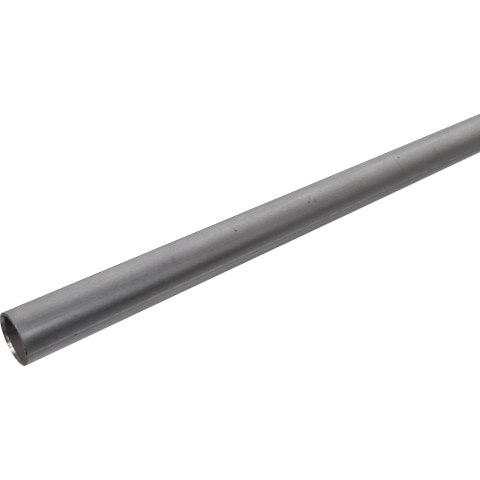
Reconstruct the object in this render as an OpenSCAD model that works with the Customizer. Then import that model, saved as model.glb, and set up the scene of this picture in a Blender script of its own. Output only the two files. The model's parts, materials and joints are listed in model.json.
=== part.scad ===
// Round welded steel tube, the plain stock that a drive shaft is made from.
// It lies level along X, cut square at both ends, with its weld seam on the front side.
// The origin is on the ground line, under the middle of the tube's length.

/* [Tube] */
// Outside diameter
outer_d = 50; // [40:1:100]
// Thickness of the wall
wall = 3.5; // [3:0.5:8]
// Length between the two saw cuts
length = 1000; // [200:10:3000]

/* [Cut ends] */
// Width of the bevel filed on the outer edge of each end
outer_bevel = 1; // [0.2:0.1:1.2]
// How deep the taper reamed in the mouth of the bore cuts into the wall at each end
mouth_bevel = 0.7; // [0.2:0.1:1.5]
// How far that taper reaches into the bore
mouth_reach = 3; // [0.5:0.5:10]

/* [Weld seam] */
// Place of the seam, in degrees below the level line across the front side
seam_drop = 8; // [-90:1:90]
// Width of the flat that scarfing the weld bead leaves along the tube
seam_w = 3.6; // [1:0.2:6]

/* [Hidden] */
$fn = 180;
outer_r = outer_d / 2;
bore_r = outer_r - wall;
half_l = length / 2;
// Distance from the tube's centre line to the scarfed flat
seam_r = sqrt(outer_r * outer_r - seam_w * seam_w / 4);

// Half section of the wall, x outwards and y along the tube, with bevelled outer corners and tapered mouths
module wall_section() {
    polygon([
        [bore_r, mouth_reach - half_l],
        [bore_r + mouth_bevel, -half_l],
        [outer_r - outer_bevel, -half_l],
        [outer_r, outer_bevel - half_l],
        [outer_r, half_l - outer_bevel],
        [outer_r - outer_bevel, half_l],
        [bore_r + mouth_bevel, half_l],
        [bore_r, half_l - mouth_reach],
    ]);
}

// The turned wall, with its centre line along X and its middle at the origin
module turned_wall() {
    rotate([0, 90, 0])
        rotate_extrude()
            wall_section();
}

// What scarfing takes off over the weld: a block with its inner face on the flat, one wall past each end
module scarf_cut() {
    rotate([seam_drop, 0, 0])
        translate([-half_l - wall, -seam_r - wall, -seam_w])
            cube([length + 2 * wall, wall, 2 * seam_w]);
}

module tube() {
    color("slategray")
        translate([0, 0, outer_r])
            difference() {
                turned_wall();
                scarf_cut();
            }
}

tube();
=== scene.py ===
"""Looks for a length of round welded steel tube, the stock that a drive shaft is made from.

The tube lies along X with its near cut end at the lowest X. Every length is in metres unless its name or its
comment says mm.
"""
import json
import math

import bpy
import numpy as np
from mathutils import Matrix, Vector


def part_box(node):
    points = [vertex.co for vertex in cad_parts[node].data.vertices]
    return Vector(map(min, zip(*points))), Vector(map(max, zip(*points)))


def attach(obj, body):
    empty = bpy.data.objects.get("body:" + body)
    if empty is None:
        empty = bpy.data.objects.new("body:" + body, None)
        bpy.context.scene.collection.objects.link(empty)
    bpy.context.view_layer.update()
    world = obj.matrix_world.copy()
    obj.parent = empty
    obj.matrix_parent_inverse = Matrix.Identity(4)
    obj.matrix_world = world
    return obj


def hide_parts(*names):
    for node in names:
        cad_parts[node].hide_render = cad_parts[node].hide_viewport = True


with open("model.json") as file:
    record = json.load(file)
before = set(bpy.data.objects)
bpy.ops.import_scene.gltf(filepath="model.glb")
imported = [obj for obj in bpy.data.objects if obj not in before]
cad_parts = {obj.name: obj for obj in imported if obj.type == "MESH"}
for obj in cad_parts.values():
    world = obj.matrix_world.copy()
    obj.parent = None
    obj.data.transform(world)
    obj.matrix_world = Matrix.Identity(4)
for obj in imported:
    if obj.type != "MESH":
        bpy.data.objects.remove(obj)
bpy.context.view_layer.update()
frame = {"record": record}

MM = 0.001
mounts = {m["name"]: m for m in frame["record"]["mounts"]}
tube_low, tube_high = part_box("tube")

# Sizes of the tube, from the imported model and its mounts
LENGTH = tube_high.x - tube_low.x
NEAR_X, FAR_X = tube_low.x, tube_high.x
OUTER_R = mounts["outside"]["dims"]["r_mm"] * MM
BORE_R = mounts["bore"]["dims"]["r_mm"] * MM
AXIS_Z = mounts["bore"]["pos_m"][2]
OUTER_BEVEL = (LENGTH - mounts["outside"]["dims"]["length_mm"] * MM) / 2
MOUTH_REACH = (LENGTH - mounts["bore"]["dims"]["length_mm"] * MM) / 2
# The end mount lies midway between the mouth's edge and the outer bevel
LAND_MIDDLE_R = mounts["near_end"]["pos_m"][2] - AXIS_Z
MOUTH_R = 2 * LAND_MIDDLE_R - (OUTER_R - OUTER_BEVEL)

# The scarfed weld seam: its place below level on the front side, and the width and scoop of its flat
SEAM_DROP = math.radians(8)
SEAM_W = 3.6 * MM
SEAM_SCOOP = 0.04 * MM
SEAM_ANGLE = math.pi + SEAM_DROP
SEAM_ARC_MM = SEAM_DROP * OUTER_R / MM

# The worn corner of each end: 2 keeps the bevel straight, 1 makes it a quarter round, and less makes it
# squarer. The mill skin wraps over it down to this angle, and the saw cut begins there
CORNER_POWER = 0.6
SKIN_TO_DEGREES = 60
# How far from a corner the next row of points lies, so that smooth shading rounds it a little
CORNER_GAP = 0.1 * MM

# How uneven the reamed mouth's edge is, and the line where its taper ends
MOUTH_WAVE = 0.05 * MM
TAPER_WAVE = 0.16 * MM
# The bore just past the taper follows that line less and less over this length
TAPER_FADE = 8 * MM
# Stretches where the reamer dug deeper or less deep: the end, the middle of the stretch in degrees up from
# the front level line, its half width in degrees, how much wider the mouth is there and how much further the
# taper reaches
REAMER_DIGS = (
    ("near", 156, 12, 0.0, 0.5 * MM),
    ("near", -126.5, 17, 1.1 * MM, -0.1 * MM),
    ("near", 15, 28, -0.5 * MM, 0.0),
    ("far", 40, 20, 0.6 * MM, 0.7 * MM),
)
# Over how many degrees such a stretch starts and stops
DIG_SIDE = 8


def linear(hex_colour, alpha=1.0):
    """An sRGB hex colour as the linear values that a shader socket takes."""
    parts = [int(hex_colour[i:i + 2], 16) / 255 for i in (1, 3, 5)]
    return tuple(c / 12.92 if c <= 0.04045 else ((c + 0.055) / 1.055) ** 2.4 for c in parts) + (alpha,)


def put(tree, kind, inputs=(), **settings):
    """Adds a shader node with its settings and links. Inputs as a tuple go to the sockets in use in their
    order, and as a dict by name. Each is a constant, a socket, or a node, which gives its first output."""
    made = tree.nodes.new("ShaderNode" + kind)
    for key, value in settings.items():
        setattr(made, key, value)
    if isinstance(inputs, dict):
        pairs = [(made.inputs[name], value) for name, value in inputs.items()]
    else:
        pairs = zip([socket for socket in made.inputs if socket.enabled], inputs)
    for socket, value in pairs:
        if isinstance(value, bpy.types.Node):
            value = next(output for output in value.outputs if output.enabled)
        if isinstance(value, bpy.types.NodeSocket):
            tree.links.new(value, socket)
        else:
            socket.default_value = value
    return made


def cells(x_mm, y_mm, z_mm):
    """The scale that makes a pattern's cells this long along X, Y and Z. An endless cell gives 0."""
    return 1 / (x_mm * MM), 1 / (y_mm * MM), 1 / (z_mm * MM)


def new_material(name):
    """An empty node material."""
    material = bpy.data.materials.new(name)
    material.use_nodes = True
    material.node_tree.nodes.clear()
    return material, material.node_tree


# At a glancing angle steel reflects a little less than the shader's plain metal does
STEEL_EDGE = linear("#CCCCCC")


def places(tree):
    """Where a point is on the tube: its object coordinates, and in mm its distance from the near end, its arc
    round the outside up from the front level line, its radius and its distance from the closer end."""
    point = put(tree, "TexCoord").outputs["Object"]
    split = put(tree, "SeparateXYZ", (point,))
    from_near = put(tree, "Math", (split.outputs["X"], NEAR_X), operation="SUBTRACT")
    along = put(tree, "Math", (from_near, 1 / MM), operation="MULTIPLY")
    from_far = put(tree, "Math", (LENGTH / MM, along), operation="SUBTRACT")
    to_end = put(tree, "Math", (along, from_far), operation="MINIMUM")
    up = put(tree, "Math", (split.outputs["Z"], AXIS_Z), operation="SUBTRACT")
    front = put(tree, "Math", (split.outputs["Y"], -1.0), operation="MULTIPLY")
    turn = put(tree, "Math", (up, front), operation="ARCTAN2")
    arc = put(tree, "Math", (turn, OUTER_R / MM), operation="MULTIPLY")
    up_square = put(tree, "Math", (up, up), operation="MULTIPLY")
    square = put(tree, "Math", (front, front, up_square), operation="MULTIPLY_ADD")
    root = put(tree, "Math", (square,), operation="SQRT")
    radius = put(tree, "Math", (root, 1 / MM), operation="MULTIPLY")
    return {"point": point, "along": along, "arc": arc, "radius": radius, "to_end": to_end}


# Dark nicks, scuffs and smudges on the skin: distance from the near end in mm, degrees up from the front
# level line, half length and half width in mm, turn in degrees from along the tube, how strong from 0 to 1
SKIN_MARKS = (
    (239.2, 59.8, 1.5, 0.8, 20, 0.9), (238.6, 65.9, 3.2, 0.4, 80, 0.5), (244.8, 68.8, 4.0, 0.35, 15, 0.15),
    (341.4, 52.5, 1.0, 1.6, 90, 0.55), (346.0, 62.9, 7.0, 0.7, 52, 0.32), (337.7, 45.6, 5.0, 0.7, 60, 0.18),
    (350.1, 50.1, 4.5, 2.2, 0, 0.2), (501.9, 68.5, 2.4, 1.2, 0, 0.55), (494.6, 53.5, 8.0, 0.8, 80, 0.28),
    (564.8, 48.0, 4.5, 0.8, 84, 0.45), (562.2, 41.6, 3.0, 0.7, 10, 0.3), (159.2, 54.1, 4.5, 3.2, 60, 0.28),
    (148.5, 53.6, 6.0, 2.2, 0, 0.2), (49.5, 30.6, 3.0, 0.9, -35, 0.24), (57.3, 59.7, 5.0, 2.0, 0, 0.1),
    (28.1, 4.1, 1.8, 1.0, 20, 0.4), (45.8, -8.6, 1.5, 1.0, 10, 0.6), (42.5, -9.4, 3.5, 0.4, 5, 0.35),
    (128.0, 171.0, 2.2, 0.8, 15, 0.5), (392.0, 214.0, 6.0, 0.6, 70, 0.3), (655.0, 150.0, 5.0, 2.4, 0, 0.2),
    (702.0, 262.0, 2.0, 0.9, 0, 0.45), (815.0, 70.0, 7.0, 0.7, 78, 0.25), (888.0, 20.0, 1.8, 0.8, 25, 0.55),
)
# Faint tints in the same form: a cool painted reflection by the cut end, over the front softbox's highlight
# band, and straw-coloured ones
COOL_PAINTED_REFLECTION = ((40.0, 38.0, 130.0, 12.0, 0, 0.18),)
# The long straw tint along the front is a painted warm reflection, and the two short ones on top are
# straw-coloured stains
STRAW_STAINS_AND_WARM_REFLECTION = (
    (640.0, 25.0, 520.0, 20.0, 0, 0.2), (17.0, 92.0, 14.0, 10.0, 0, 0.3), (110.0, 85.0, 20.0, 6.0, 0, 0.12),
)
# Dark spots on the corner of the near end, which reach over onto the skin, and bright burrs in its mouth that
# are partly painted glare
CORNER_MARKS = (
    (0.0, 50.0, 1.4, 8.0, 0, 0.35), (0.0, 10.0, 0.9, 1.0, 0, 0.6), (0.1, 1.0, 1.1, 1.6, 0, 0.85),
    (0.8, -6.0, 1.2, 1.0, 0, 0.15), (0.2, -164.0, 0.8, 1.5, 0, 0.6),
)
# The burrs are painted near white, so that they also stand in for the lamp's glare and a lit streak on the
# mouth
MOUTH_BURRS_AND_GLARE = (
    (1.2, 156.0, 2.6, 7.0, 0, 1.0), (2.2, -150.0, 0.9, 2.5, 0, 0.7), (2.0, -68.0, 2.5, 4.0, 0, 0.15),
)
# Painted shade: darker stretches of the near end, over the sawn face and the reamed taper
END_PAINTED_SHADE = ((0.5, -166.0, 4.0, 3.0, 0, 0.45), (0.5, -104.0, 4.0, 2.6, 0, 0.3))


def mark_mask(tree, at, marks):
    """How strong the marks are at a point: each is an oval that fades from its middle to just past its rim.
    Its reach is 0 in its middle and 1 on its rim."""
    surface = put(tree, "CombineXYZ", (at["along"], at["arc"]))
    total = 0.0
    for x, degrees, half_long, half_wide, turn, strength in marks:
        centre = (x, math.radians((degrees + 180) % 360 - 180) * OUTER_R / MM, 0)
        inputs = (surface, centre, (0, 0, math.radians(turn)), (half_long, half_wide, 1))
        placed = put(tree, "Mapping", inputs, vector_type="TEXTURE")
        reach = put(tree, "VectorMath", (placed,), operation="LENGTH")
        oval = put(tree, "MapRange", (reach, 1.25, 0.3), interpolation_type="SMOOTHSTEP")
        mark = put(tree, "Math", (oval, strength), operation="MULTIPLY")
        total = put(tree, "Math", (total, mark), operation="MAXIMUM")
    return total


def mill_skin():
    """Mild steel with a drawn mill finish: to the eye a grey satin skin with cloudy mottling, grain and faint
    draw lines, a brown tint of oxide by the cuts, and the scarfed weld seam along it. Its clouds are 71 by
    25 mm. Real grain and draw lines are finer than the render's pixels of about 1 mm, so they are drawn 1 to
    3 mm wide."""
    material, tree = new_material("mill_skin")
    at = places(tree)
    stretched = put(tree, "VectorMath", (at["point"], cells(71.43, 25.0, 25.0)), operation="MULTIPLY")
    clouds = put(tree, "TexNoise", (stretched, 1.0, 4, 0.6))
    stretched = put(tree, "VectorMath", (at["point"], cells(3.333, 1.923, 1.923)), operation="MULTIPLY")
    grain = put(tree, "TexNoise", (stretched, 1.0, 3, 0.6))
    stretched = put(tree, "VectorMath", (at["point"], cells(166.7, 1.111, 1.111)), operation="MULTIPLY")
    lines = put(tree, "TexNoise", (stretched, 1.0, 2, 0.6))
    fine = put(tree, "Math", (lines, 0.25), operation="MULTIPLY")
    fine = put(tree, "Math", (grain, 0.35, fine), operation="MULTIPLY_ADD")
    level = put(tree, "Math", (clouds, 0.4, fine), operation="MULTIPLY_ADD")
    pale = put(tree, "MapRange", (level, 0.3, 0.7), interpolation_type="SMOOTHSTEP")
    skin = put(tree, "Mix", (pale, linear("#928F92"), linear("#AAA8AA")), data_type="RGBA")

    # Warm oxide tint in patches of 18 mm, most of it within 30 mm of a cut end
    stretched = put(tree, "VectorMath", (at["point"], cells(18.18, 18.18, 18.18)), operation="MULTIPLY")
    stain = put(tree, "TexNoise", (stretched, 1.0, 4, 0.65))
    near_cut = put(tree, "MapRange", (at["to_end"], 30, 0), interpolation_type="SMOOTHSTEP")
    stain = put(tree, "Math", (near_cut, 0.12, stain), operation="MULTIPLY_ADD")
    stain = put(tree, "MapRange", (stain, 0.52, 0.75), interpolation_type="SMOOTHSTEP")
    stain = put(tree, "Math", (stain, 0.22), operation="MULTIPLY")
    skin = put(tree, "Mix", (stain, skin, linear("#8C7B70")), data_type="RGBA")
    # Painted reflection: a cool tint over the highlight band by the cut end
    skin = put(tree, "Mix", (mark_mask(tree, at, COOL_PAINTED_REFLECTION), skin, linear("#8F9DA9")), data_type="RGBA")
    # A painted warm reflection along the front, and straw-coloured stains on top
    skin = put(tree, "Mix", (mark_mask(tree, at, STRAW_STAINS_AND_WARM_REFLECTION), skin, linear("#A99D8F")), data_type="RGBA")

    # Scarfed seam: colour lighter along its upper edge and darker along its lower edge, placed in mm across
    # it. Both are broken along the tube in lengths of about 11 mm
    across = put(tree, "Math", (at["arc"], SEAM_ARC_MM), operation="ADD")
    stretched = put(tree, "VectorMath", (at["point"], cells(11.11, math.inf, math.inf)), operation="MULTIPLY")
    broken = put(tree, "TexNoise", (stretched, 1.0, 3, 0.6))
    upper = put(tree, "MapRange", (across, 0.6, 1.1), interpolation_type="SMOOTHSTEP")
    lower = put(tree, "MapRange", (across, 3.2, 1.6), interpolation_type="SMOOTHSTEP")
    here = put(tree, "MapRange", (broken, 0.35, 0.6), interpolation_type="SMOOTHSTEP")
    bright = put(tree, "Math", (upper, lower), operation="MULTIPLY")
    bright = put(tree, "Math", (bright, here), operation="MULTIPLY")
    bright = put(tree, "Math", (bright, 0.5), operation="MULTIPLY")
    skin = put(tree, "Mix", (bright, skin, linear("#C4C2C0")), data_type="RGBA")
    upper = put(tree, "MapRange", (across, -0.6, -1.0), interpolation_type="SMOOTHSTEP")
    lower = put(tree, "MapRange", (across, -2.0, -1.7), interpolation_type="SMOOTHSTEP")
    here = put(tree, "MapRange", (broken, 0.7, 0.4), interpolation_type="SMOOTHSTEP")
    dull = put(tree, "Math", (upper, lower), operation="MULTIPLY")
    dull = put(tree, "Math", (dull, here), operation="MULTIPLY")
    dull = put(tree, "Math", (dull, 0.15), operation="MULTIPLY")
    skin = put(tree, "Mix", (dull, skin, linear("#6A6768")), data_type="RGBA")

    # Nicks and scuffs are dark, duller than the skin and up to 0.08 mm deep
    marks = mark_mask(tree, at, SKIN_MARKS + CORNER_MARKS)
    skin = put(tree, "Mix", (marks, skin, linear("#2A2523")), data_type="RGBA")
    rough = put(tree, "Math", (level, 0.12, 0.16), operation="MULTIPLY_ADD")
    # The saw's heat and handling have dulled the last few millimetres
    near_cut = put(tree, "MapRange", (at["to_end"], 9, 1), interpolation_type="SMOOTHSTEP")
    rough = put(tree, "Math", (near_cut, 0.11, rough), operation="MULTIPLY_ADD")
    rough = put(tree, "Math", (marks, 0.3, rough), operation="MULTIPLY_ADD")
    height = put(tree, "Math", (lines, 0.003 * MM), operation="MULTIPLY")
    height = put(tree, "Math", (grain, 0.0045 * MM, height), operation="MULTIPLY_ADD")
    height = put(tree, "Math", (marks, -0.08 * MM, height), operation="MULTIPLY_ADD")
    bump = put(tree, "Bump", {"Height": height, "Distance": 1.0, "Strength": 1.0})
    finish = {"Base Color": skin, "Roughness": rough, "Normal": bump}
    finish.update({"Metallic": 1.0, "Specular Tint": STEEL_EDGE})
    put(tree, "OutputMaterial", (put(tree, "BsdfPrincipled", finish),))
    return material


def saw_cut():
    """Sawn mild steel: to the eye a dull cut end with straight saw lines, brown oxide in spots of 2.6 mm, and
    its corner with the mouth worn bright. The saw lines are drawn 0.4 mm wide and 3 mm long, somewhat coarser
    than real ones."""
    material, tree = new_material("saw_cut_steel")
    at = places(tree)
    stretched = put(tree, "VectorMath", (at["point"], cells(math.inf, 2.857, 0.3846)), operation="MULTIPLY")
    saw = put(tree, "TexNoise", (stretched, 1.0, 2, 0.6))
    stretched = put(tree, "VectorMath", (at["point"], cells(2.6316, 2.6316, 2.6316)), operation="MULTIPLY")
    oxide = put(tree, "TexNoise", (stretched, 1.0, 4, 0.65))
    pale = put(tree, "MapRange", (saw, 0.3, 0.7), interpolation_type="SMOOTHSTEP")
    steel = put(tree, "Mix", (pale, linear("#827D7A"), linear("#ACA8A5")), data_type="RGBA")
    brown = put(tree, "MapRange", (oxide, 0.5, 0.7), interpolation_type="SMOOTHSTEP")
    brown = put(tree, "Math", (brown, 0.65), operation="MULTIPLY")
    steel = put(tree, "Mix", (brown, steel, linear("#665850")), data_type="RGBA")

    # The corner with the mouth is worn bright within 0.4 mm, where no oxide lies
    off_mouth = put(tree, "Math", (at["radius"], MOUTH_R / MM), operation="SUBTRACT")
    off_mouth = put(tree, "Math", (off_mouth,), operation="ABSOLUTE")
    inner = put(tree, "MapRange", (off_mouth, 0.4, 0.1), interpolation_type="SMOOTHSTEP")
    clean = put(tree, "MapRange", (oxide, 0.62, 0.45), interpolation_type="SMOOTHSTEP")
    worn = put(tree, "Math", (inner, clean), operation="MULTIPLY")
    worn = put(tree, "Math", (worn, 0.2), operation="MULTIPLY")
    steel = put(tree, "Mix", (worn, steel, linear("#B4B0AC")), data_type="RGBA")

    # The corner's dark spots fade out over the face within about two bevels of the outside
    spots_start, spots_full = (OUTER_R - 2.2 * OUTER_BEVEL) / MM, (OUTER_R - 1.4 * OUTER_BEVEL) / MM
    corner = put(tree, "MapRange", (at["radius"], spots_start, spots_full), interpolation_type="SMOOTHSTEP")
    marks = put(tree, "Math", (mark_mask(tree, at, CORNER_MARKS), corner), operation="MULTIPLY")
    # Painted shade on two stretches of the near end joins these spots
    marks = put(tree, "Math", (marks, mark_mask(tree, at, END_PAINTED_SHADE)), operation="MAXIMUM")
    steel = put(tree, "Mix", (marks, steel, linear("#2A201C")), data_type="RGBA")
    # Bright burrs, partly painted glare of the lamp on the mouth
    burrs_and_glare = put(tree, "Math", (mark_mask(tree, at, MOUTH_BURRS_AND_GLARE), 0.9), operation="MULTIPLY")
    steel = put(tree, "Mix", (burrs_and_glare, steel, linear("#E6E2DE")), data_type="RGBA")

    rough = put(tree, "Math", (oxide, 0.3, 0.42), operation="MULTIPLY_ADD")
    height = put(tree, "Math", (oxide, 0.03 * MM), operation="MULTIPLY")
    height = put(tree, "Math", (saw, 0.02 * MM, height), operation="MULTIPLY_ADD")
    bump = put(tree, "Bump", {"Height": height, "Distance": 1.0, "Strength": 1.0})
    finish = {"Base Color": steel, "Roughness": rough, "Normal": bump}
    finish.update({"Metallic": 1.0, "Specular Tint": STEEL_EDGE})
    put(tree, "OutputMaterial", (put(tree, "BsdfPrincipled", finish),))
    return material


def reamed_mouth():
    """Reamed mild steel: to the eye a taper of torn and smeared metal, with streaks 4 mm long round the mouth
    and 1 mm wide, dark pits of 3.3 mm, stretches of painted shade and bright burrs that are partly painted
    glare."""
    material, tree = new_material("reamed_mouth")
    at = places(tree)
    stretched = put(tree, "VectorMath", (at["point"], cells(1.1111, 3.8462, 3.8462)), operation="MULTIPLY")
    torn_and_shadow_line = put(tree, "TexNoise", (stretched, 1.0, 4, 0.65))
    stretched = put(tree, "VectorMath", (at["point"], cells(3.3333, 3.3333, 3.3333)), operation="MULTIPLY")
    oxide = put(tree, "TexNoise", (stretched, 1.0, 4, 0.65))
    steel = put(tree, "Mix", (torn_and_shadow_line, linear("#7A7877"), linear("#BCBAB8")), data_type="RGBA")
    pits = put(tree, "MapRange", (oxide, 0.5, 0.7), interpolation_type="SMOOTHSTEP")
    pits = put(tree, "Math", (pits, 0.7), operation="MULTIPLY")
    steel = put(tree, "Mix", (pits, steel, linear("#47423E")), data_type="RGBA")
    # Painted shade on two stretches of the near end
    steel = put(tree, "Mix", (mark_mask(tree, at, END_PAINTED_SHADE), steel, linear("#2A201C")), data_type="RGBA")
    # Bright burrs, partly painted glare of the lamp on the mouth
    burrs_and_glare = mark_mask(tree, at, MOUTH_BURRS_AND_GLARE)
    steel = put(tree, "Mix", (burrs_and_glare, steel, linear("#F0EEEC")), data_type="RGBA")
    rough = put(tree, "Math", (oxide, 0.3, 0.2), operation="MULTIPLY_ADD")
    rough = put(tree, "Math", (burrs_and_glare, 0.5, rough), operation="MULTIPLY_ADD")
    height = put(tree, "Math", (torn_and_shadow_line, 0.12 * MM), operation="MULTIPLY")
    bump = put(tree, "Bump", {"Height": height, "Distance": 1.0, "Strength": 1.0})
    finish = {"Base Color": steel, "Roughness": rough, "Normal": bump}
    finish.update({"Metallic": 1.0, "Specular Tint": STEEL_EDGE})
    put(tree, "OutputMaterial", (put(tree, "BsdfPrincipled", finish),))
    return material


def bore_skin():
    """Annealed bore with scale on it: to the eye a matt brown-grey inside, mottled in spots of 11 by 4.5 mm,
    with light rust in patches of 25 by 11 mm, painted light along the bottom, a painted shadow line past the
    taper and the inside bead of the weld."""
    material, tree = new_material("bore_skin")
    at = places(tree)
    stretched = put(tree, "VectorMath", (at["point"], cells(11.11, 4.545, 4.545)), operation="MULTIPLY")
    scale_spots = put(tree, "TexNoise", (stretched, 1.0, 4, 0.65))
    stretched = put(tree, "VectorMath", (at["point"], cells(25.0, 11.11, 11.11)), operation="MULTIPLY")
    rust = put(tree, "TexNoise", (stretched, 1.0, 4, 0.6))
    pale = put(tree, "MapRange", (scale_spots, 0.3, 0.7), interpolation_type="SMOOTHSTEP")
    skin = put(tree, "Mix", (pale, linear("#3A3838"), linear("#63605E")), data_type="RGBA")
    rusty = put(tree, "MapRange", (rust, 0.5, 0.72), interpolation_type="SMOOTHSTEP")
    rusty = put(tree, "Math", (rusty, 0.6), operation="MULTIPLY")
    skin = put(tree, "Mix", (rusty, skin, linear("#5E5048")), data_type="RGBA")

    # Painted light: the bore is lighter along the bottom, up to an uneven line, where light falls in
    height_mm = put(tree, "Math", (put(tree, "SeparateXYZ", (at["point"],)).outputs["Z"], 1 / MM),
                    operation="MULTIPLY")
    painted_bottom_light = put(tree, "Math", (scale_spots, 6.0, height_mm), operation="MULTIPLY_ADD")
    painted_bottom_light = put(tree, "MapRange", (painted_bottom_light, 21, 8), interpolation_type="SMOOTHSTEP")
    skin = put(tree, "Mix", (painted_bottom_light, skin, linear("#6D6662")), data_type="RGBA")

    # Painted shadow: a dark broken line just past where the reamer's taper runs out
    torn_and_shadow_line = put(tree, "Math", (at["to_end"], MOUTH_REACH / MM + 0.5), operation="SUBTRACT")
    torn_and_shadow_line = put(tree, "Math", (torn_and_shadow_line,), operation="ABSOLUTE")
    torn_and_shadow_line = put(tree, "MapRange", (torn_and_shadow_line, 0.9, 0.2), interpolation_type="SMOOTHSTEP")
    here = put(tree, "MapRange", (rust, 0.38, 0.55), interpolation_type="SMOOTHSTEP")
    torn_and_shadow_line = put(tree, "Math", (torn_and_shadow_line, here), operation="MULTIPLY")
    torn_and_shadow_line = put(tree, "Math", (torn_and_shadow_line, 0.3), operation="MULTIPLY")
    skin = put(tree, "Mix", (torn_and_shadow_line, skin, linear("#2C2623")), data_type="RGBA")

    # The bead is 3.6 mm wide and fades over its outer 0.8 mm
    across = put(tree, "Math", (at["arc"], SEAM_ARC_MM), operation="ADD")
    across = put(tree, "Math", (across,), operation="ABSOLUTE")
    bead = put(tree, "MapRange", (across, 1.8, 1.0), interpolation_type="SMOOTHSTEP")
    bright = put(tree, "Math", (bead, 0.5), operation="MULTIPLY")
    skin = put(tree, "Mix", (bright, skin, linear("#8A8684")), data_type="RGBA")

    # Scale hides most of the metal, so the bore is less metallic than the outside
    rough = put(tree, "Math", (scale_spots, 0.25, 0.45), operation="MULTIPLY_ADD")
    height = put(tree, "Math", (bead, 0.25 * MM), operation="MULTIPLY")
    height = put(tree, "Math", (scale_spots, 0.05 * MM, height), operation="MULTIPLY_ADD")
    bump = put(tree, "Bump", {"Height": height, "Distance": 1.0, "Strength": 1.0})
    finish = {"Base Color": skin, "Roughness": rough, "Normal": bump}
    finish.update({"Metallic": 0.3, "Specular Tint": STEEL_EDGE})
    put(tree, "OutputMaterial", (put(tree, "BsdfPrincipled", finish),))
    return material


def around_angles():
    """Angles round the tube, about 1.2 degrees apart and 0.35 degrees apart over the scarfed seam."""
    half_seam = math.radians(7)
    fine = np.arange(-half_seam, half_seam, math.radians(0.35))
    rest = np.linspace(half_seam, 2 * math.pi - half_seam, 285, endpoint=False)
    return SEAM_ANGLE + np.concatenate([fine, rest])


def stations(*stretches):
    """Places along a line: each stretch is (start, end, how many), with the last end left out."""
    return np.concatenate([np.linspace(a, b, n, endpoint=False) for a, b, n in stretches])


def reaming(end, angles):
    """How much wider the mouth is and how much further its taper reaches at each angle. Three sine waves make
    both edges a little uneven, and each stretch in REAMER_DIGS is a flat-topped bump: one over one plus the
    exponential of the distance outside its half width, four times over the width of its side."""
    shift = 0.0 if end == "near" else 2.0
    wave = np.sin(5 * angles + shift) + 0.8 * np.sin(9 * angles + 2 + shift)
    wave = wave + 0.6 * np.sin(17 * angles + shift)
    wider = MOUTH_WAVE * wave
    further = TAPER_WAVE * np.roll(wave, len(wave) // 3)
    for which, middle, half_width, wide, far in REAMER_DIGS:
        if which == end:
            off = np.degrees((angles - math.pi + math.radians(middle) + math.pi) % (2 * math.pi) - math.pi)
            bump = 1 / (1 + np.exp((np.abs(off) - half_width) * 4 / DIG_SIDE))
            wider = wider + wide * bump
            further = further + far * bump
    return wider, further


SKIN, SAWN, REAMED, BORE = range(4)


def end_rows(end_x, inward):
    """Rows from the plain outside round the worn bevel, over the sawn face and down the reamed taper. The
    bevel is worn to a squared-off round: while a turn goes from 90 degrees to 0, the distance from the end is
    the bevel's width times one less the turn's cosine to a power, and the depth is the same of its sine."""
    bevel_r = OUTER_R - OUTER_BEVEL
    made = [(end_x + inward * (OUTER_BEVEL + CORNER_GAP), OUTER_R, 0, 0, SKIN)]
    for degrees in (86, 80, 70, 58, 45, 32, 20, 9):
        turn = math.radians(degrees)
        along = OUTER_BEVEL * (1 - math.cos(turn) ** CORNER_POWER)
        down = OUTER_BEVEL * (1 - math.sin(turn) ** CORNER_POWER)
        finish = SKIN if degrees > SKIN_TO_DEGREES else SAWN
        made.append((end_x + inward * along, OUTER_R - down, 0, 0, finish))
    for share in (0.25, 0.5, 0.75, 0.94):
        made.append((end_x, bevel_r + share * (MOUTH_R - bevel_r), share, 0, SAWN))
    for share in (0.04, 0.2, 0.4, 0.6, 0.8, 0.96):
        made.append((end_x + inward * share * MOUTH_REACH, MOUTH_R - share * (MOUTH_R - BORE_R),
                     1 - share, share, REAMED))
    return made


def wall_section():
    """One turn round the wall's section, along the outside, over the far end, back through the bore and over
    the near end. Each row is x, radius, how far it follows the mouth's edge outwards, how far it follows the
    taper's reach, and its finish. Rows lie closer together near the ends."""
    near_close, near_mid, far_close = NEAR_X + 12 * MM, NEAR_X + 60 * MM, FAR_X - 12 * MM
    outside = stations(
        (NEAR_X + OUTER_BEVEL + 2 * CORNER_GAP, near_close, 22), (near_close, near_mid, 20),
        (near_mid, far_close, 120), (far_close, FAR_X - OUTER_BEVEL, 10),
    )
    near_deep, far_deep = NEAR_X + 15 * MM, FAR_X - 15 * MM
    inside = stations(
        (FAR_X - 1.1 * MOUTH_REACH, far_deep, 8), (far_deep, near_deep, 34),
        (near_deep, NEAR_X + MOUTH_REACH, 12),
    )
    rows = [(x, OUTER_R, 0, 0, SKIN) for x in outside] + end_rows(FAR_X, -1)
    for x in inside:
        past_taper = min(x - NEAR_X, FAR_X - x) - MOUTH_REACH
        rows.append((x, BORE_R, 0, max(0, 1 - past_taper / TAPER_FADE), BORE))
    # At the near end the rows run the other way, so each takes the finish of the row after it
    near = end_rows(NEAR_X, 1)[::-1]
    finishes = [row[4] for row in near[1:]] + [SKIN]
    rows += [row[:4] + (finish,) for row, finish in zip(near, finishes)]
    return np.array(rows)


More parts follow.
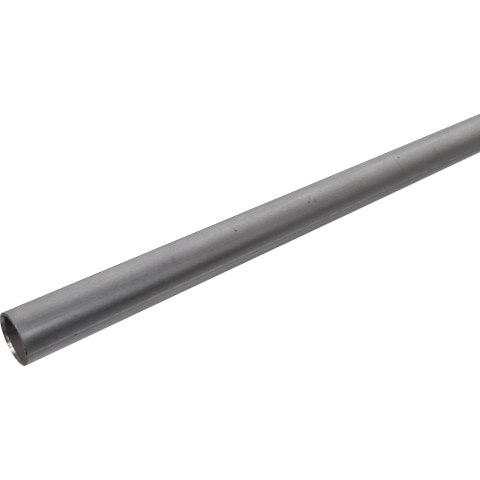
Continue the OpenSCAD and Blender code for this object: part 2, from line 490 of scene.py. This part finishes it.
def tube_mesh():
    """The wall's section carried round the centre line. The outside is cut back to the scarfed flat: there
    the radius is the flat's distance from the axis over the cosine of the angle from the flat's middle, less
    the scoop, which is deepest in the middle and falls off with the square of the distance across it."""
    section, angles = wall_section(), around_angles()
    near_wide, near_far = reaming("near", angles)
    far_wide, far_far = reaming("far", angles)
    is_near = section[:, :1] < (NEAR_X + FAR_X) / 2
    x = section[:, :1] + section[:, 3:4] * np.where(is_near, near_far[None, :], -far_far[None, :])
    r = section[:, 1:2] + section[:, 2:3] * np.where(is_near, near_wide[None, :], far_wide[None, :])
    off = (angles - SEAM_ANGLE + math.pi) % (2 * math.pi) - math.pi
    # Away from the seam the cosine is held at 0.2 or more, which puts the flat far outside the tube
    flat_r = math.sqrt(OUTER_R ** 2 - SEAM_W ** 2 / 4) / np.maximum(np.cos(off), 0.2)
    flat_r = flat_r - SEAM_SCOOP * np.maximum(1 - (off * OUTER_R / (SEAM_W / 2)) ** 2, 0)
    r = np.minimum(r, flat_r[None, :])
    a = angles[None, :]
    points = np.stack([x, r * np.cos(a), AXIS_Z + r * np.sin(a)], -1).reshape(-1, 3)
    n, m = len(section), len(angles)
    i, j = np.meshgrid(np.arange(n), np.arange(m), indexing="ij")
    i2, j2 = (i + 1) % n, (j + 1) % m
    quads = np.stack([i * m + j, i * m + j2, i2 * m + j2, i2 * m + j], -1).reshape(-1, 4)
    mesh = bpy.data.meshes.new("round_tube")
    mesh.from_pydata(points.tolist(), [], quads.tolist())
    mesh.polygons.foreach_set("material_index", np.repeat(section[:, 4].astype(np.int32), m))
    mesh.polygons.foreach_set("use_smooth", np.ones(n * m, bool))
    mesh.update()
    return mesh


def build_tube():
    """The one piece. Its materials are in the order of SKIN, SAWN, REAMED and BORE."""
    mesh = tube_mesh()
    for material in (mill_skin(), saw_cut(), reamed_mouth(), bore_skin()):
        mesh.materials.append(material)
    piece = bpy.data.objects.new("round_tube", mesh)
    bpy.context.scene.collection.objects.link(piece)
    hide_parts("tube")
    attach(piece, "root")


# Camera: a lens of 53.9 mm on a 36 mm sensor, looking down at 31 degrees across the tube's near end. Its
# place and lens come from fitting the tube's outlines and near ring, and the shift moves the picture by one
# or two pixels to where the photo has them
LENS_MM = 53.896
LENS_SHIFT = (-0.00385, -0.00197)
SENSOR_MM = 36
CAMERA_AZIMUTH = math.radians(-40.725)
CAMERA_ELEVATION = math.radians(31.033)
CAMERA_FROM_NEAR_END = Vector((-166.0, -492.3, 389.7)) * MM
CLIP_START = 50 * MM

NEAR_END = Vector((NEAR_X, 0, AXIS_Z))


def aim(elevation, azimuth):
    """A unit direction from degrees of elevation, and of azimuth from +X towards +Y."""
    e, a = math.radians(elevation), math.radians(azimuth)
    return Vector((math.cos(e) * math.cos(a), math.cos(e) * math.sin(a), math.sin(e)))


def make_camera():
    """The camera at its place from the near end. Its azimuth is from -Y towards +X."""
    camera = bpy.data.objects.new("camera", bpy.data.cameras.new("camera"))
    bpy.context.scene.collection.objects.link(camera)
    camera.data.lens, camera.data.sensor_width = LENS_MM, SENSOR_MM
    camera.data.shift_x, camera.data.shift_y = LENS_SHIFT
    camera.data.clip_start = CLIP_START
    a, e = CAMERA_AZIMUTH, CAMERA_ELEVATION
    back = Vector((math.sin(a) * math.cos(e), -math.cos(a) * math.cos(e), math.sin(e)))
    camera.location = NEAR_END + CAMERA_FROM_NEAR_END
    camera.rotation_mode = "QUATERNION"
    camera.rotation_quaternion = (-back).to_track_quat("-Z", "Y")
    bpy.context.scene.camera = camera


def add_softbox(name, direction, distance, **settings):
    """A square lamp at a distance from the near end, in a direction, and turned to face it."""
    light = bpy.data.objects.new(name, bpy.data.lights.new(name, "AREA"))
    bpy.context.scene.collection.objects.link(light)
    light.data.shape = "SQUARE"
    for key, value in settings.items():
        setattr(light.data, key, value)
    light.location = NEAR_END + direction * distance
    light.rotation_mode = "QUATERNION"
    light.rotation_quaternion = (-direction).to_track_quat("-Z", "Y")


# Brightness of the soft room by elevation in degrees, each row evenly spaced round from -X by way of -Y.
# It is bright behind and above the tube, dim in front of it, and below the level it is the lit table. The
# values are those of a fit of the tube's shading to the photo, changed in six places and rounded to twentieths
ROOM = (
    (75, (0.01, 0.25, 0.45, 0.01)),
    (50, (0.1, 0.01, 0.8, 0.1, 0.4, 0.7, 0.65, 0.35, 0.1, 0.15)),
    (25, (0.2, 0.15, 0.15, 0.05, 0.45, 0.15, 0.75, 0.9, 0.55, 0.75, 0.15, 0.45, 0.6, 0.2)),
    (0, (0.05, 0.05, 0.05, 0.2, 0.01, 0.1, 0.25, 0.01, 0.55, 0.75, 0.6, 0.5, 0.01, 0.01, 0.05)),
    (-25, (0.05, 0.05, 0.15, 0.05, 0.15, 0.25, 0.05, 0.75, 0.4, 0.01, 0.75, 0.25, 0.05, 0.05)),
    (-50, (0.05, 0.05, 0.01, 0.35, 0.4, 0.15, 0.4, 0.75, 0.25, 0.01)),
    (-75, (0.05, 0.25, 0.65, 0.25)),
)
ROOM_SPREAD = 15


def make_world():
    """The soft room: a sum of smooth spots, each half as bright at the spread's angle from its middle. The
    camera sees plain white instead."""
    world = bpy.data.worlds.new("studio")
    bpy.context.scene.world = world
    world.use_nodes = True
    tree = world.node_tree
    tree.nodes.clear()
    direction = put(tree, "TexCoord").outputs["Generated"]
    sharp = math.log(2) / (1 - math.cos(math.radians(ROOM_SPREAD)))
    total = 0.0
    for elevation, row in ROOM:
        for k, value in enumerate(row):
            middle = aim(elevation, -180 + 360 * (k + 0.5) / len(row)) * sharp
            spot = put(tree, "VectorMath", (direction, middle), operation="DOT_PRODUCT")
            spot = put(tree, "Math", (spot, math.log(value) - sharp), operation="ADD")
            spot = put(tree, "Math", (spot,), operation="EXPONENT")
            total = put(tree, "Math", (total, spot), operation="ADD")
    light = put(tree, "Background", (total,))
    plain = put(tree, "Background", (linear("#FFFFFF"),))
    seen = put(tree, "LightPath").outputs["Is Camera Ray"]
    put(tree, "OutputWorld", (put(tree, "MixShader", (seen, light, plain)),))


FLOOR_HALF = 8.0


def make_floor():
    """A matt white light table, out of the way of reflections, which see the soft room instead."""
    mesh = bpy.data.meshes.new("light_table")
    corners = [(-FLOOR_HALF, -FLOOR_HALF, 0), (FLOOR_HALF, -FLOOR_HALF, 0),
               (FLOOR_HALF, FLOOR_HALF, 0), (-FLOOR_HALF, FLOOR_HALF, 0)]
    mesh.from_pydata(corners, [], [(0, 1, 2, 3)])
    floor = bpy.data.objects.new("light_table", mesh)
    bpy.context.scene.collection.objects.link(floor)
    material, tree = new_material("matt_white_acrylic")
    finish = {"Base Color": linear("#F6F6F6"), "Roughness": 0.9, "Specular Tint": STEEL_EDGE,
              "Emission Color": linear("#FFFFFF"), "Emission Strength": 0.95}
    put(tree, "OutputMaterial", (put(tree, "BsdfPrincipled", finish),))
    mesh.materials.append(material)
    floor.visible_glossy = False
    floor.visible_diffuse = False


build_tube()
make_camera()
make_world()
make_floor()
# Sizes and distances in metres, and energies in watts
add_softbox("front_softbox", aim(35.5, -79), 2.5, size=0.7, energy=1.5, color=linear("#EFEFFF")[:3])
add_softbox("mouth_lamp", aim(50, -162), 1.0, size=0.8, energy=8.0)
bpy.context.scene.view_settings.view_transform = "Standard"
